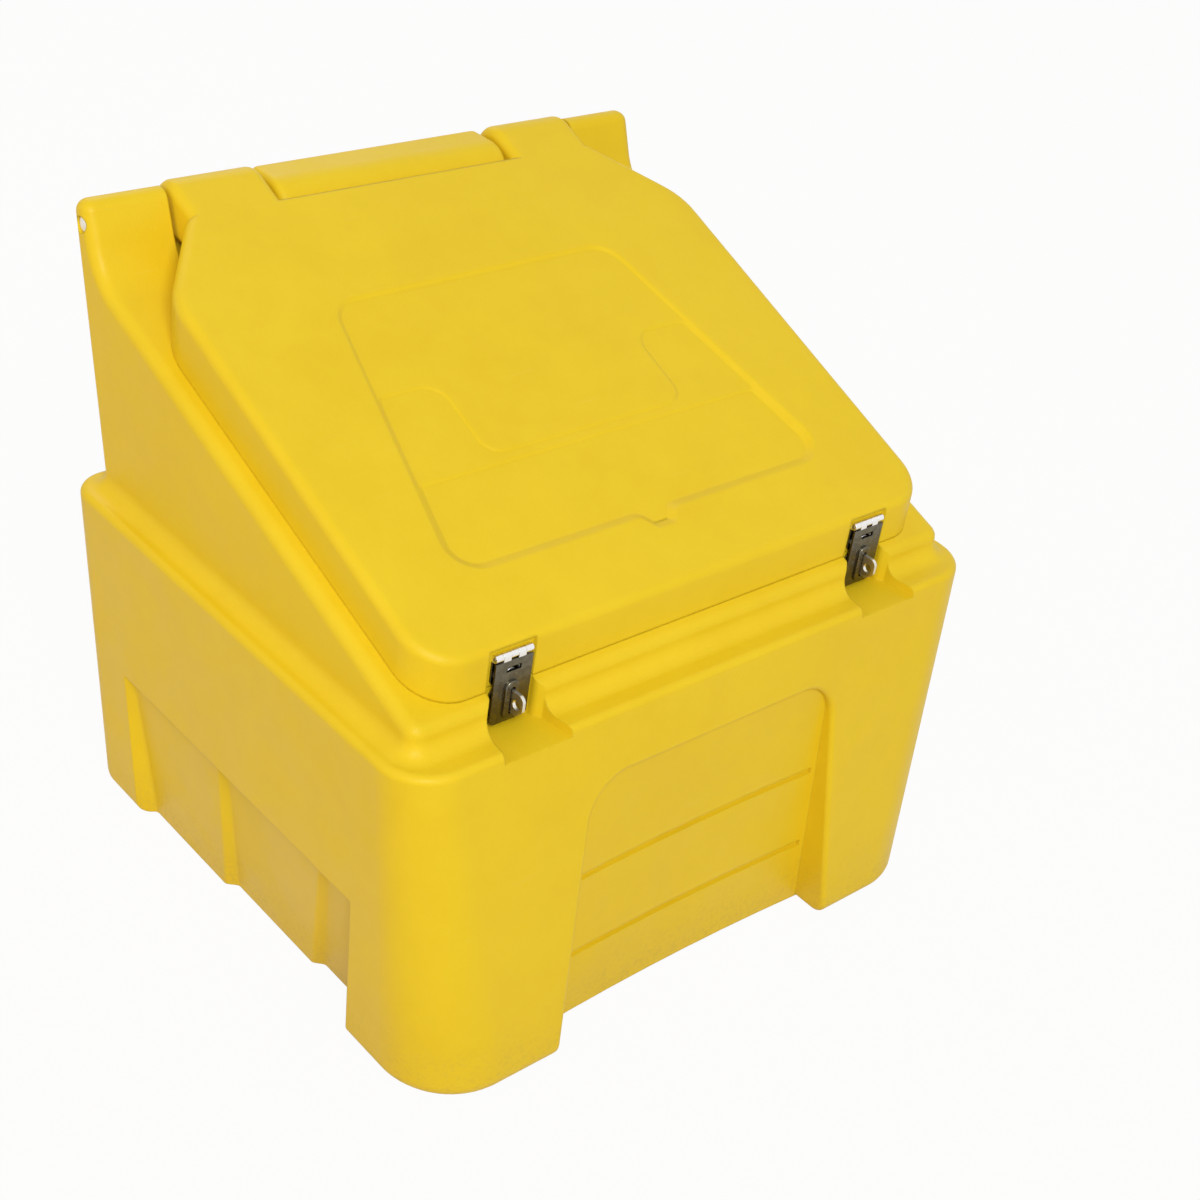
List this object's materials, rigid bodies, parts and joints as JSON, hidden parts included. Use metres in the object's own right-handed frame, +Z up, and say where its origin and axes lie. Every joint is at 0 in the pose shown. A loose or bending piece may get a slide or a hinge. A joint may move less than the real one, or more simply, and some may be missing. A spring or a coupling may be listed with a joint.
{
  "type": "grit salt bin",
  "caption": "Rotomoulded plastic grit salt bin with a sloping lid hinged on a rear rod, a raised neck with a rain lip, flared corner columns, and hasps with staples for padlocks",
  "frame": {"origin": "centre of the bounding box, on the ground", "axes": "+Z up, +X to the right as seen from the front, front faces -Y"},
  "size_m": [0.703, 0.6411, 0.6358],
  "materials": {
    "body_yellow": "satin moulded polyethylene, coloured right through",
    "lid_yellow": "satin moulded polyethylene, coloured right through",
    "rod_steel": "zinc-plated round bar",
    "cap_steel": "zinc-plated pressed cap",
    "hasp_zinc": "bright zinc-plated sheet steel",
    "fastener_zinc": "zinc-plated fasteners"
  },
  "bodies": {
    "bin": {"body_shell": "body_yellow", "hinge_rod": "rod_steel", "rod_end_caps": "cap_steel", "staple_plate_left": "hasp_zinc", "staple_eye_left": "hasp_zinc", "staple_bolts_left": "fastener_zinc", "staple_nuts_left": "fastener_zinc", "staple_plate_right": "hasp_zinc", "staple_eye_right": "hasp_zinc", "staple_bolts_right": "fastener_zinc", "staple_nuts_right": "fastener_zinc"},
    "lid": {"lid_shell": "lid_yellow", "hasp_fixed_leaf_left": "hasp_zinc", "hasp_pin_left": "fastener_zinc", "leaf_bolts_left": "fastener_zinc", "leaf_nuts_left": "fastener_zinc", "hasp_fixed_leaf_right": "hasp_zinc", "hasp_pin_right": "fastener_zinc", "leaf_bolts_right": "fastener_zinc", "leaf_nuts_right": "fastener_zinc"},
    "hasp_left": {"hasp_moving_leaf_left": "hasp_zinc"},
    "hasp_right": {"hasp_moving_leaf_right": "hasp_zinc"}
  },
  "joints": [
    {"name": "lid_hinge", "type": "hinge", "parent": "bin", "child": "lid", "pos_m": [0, 0.29364, 0.60885], "axis": [-1, 0, 0], "range_deg": [0, 110]},
    {"name": "hasp_left_hinge", "type": "hinge", "parent": "lid", "child": "hasp_left", "pos_m": [-0.219, -0.23113, 0.42], "axis": [-1, 0, 0], "range_deg": [0, 150]},
    {"name": "hasp_right_hinge", "type": "hinge", "parent": "lid", "child": "hasp_right", "pos_m": [0.219, -0.23113, 0.42], "axis": [-1, 0, 0], "range_deg": [0, 150]}
  ]
}
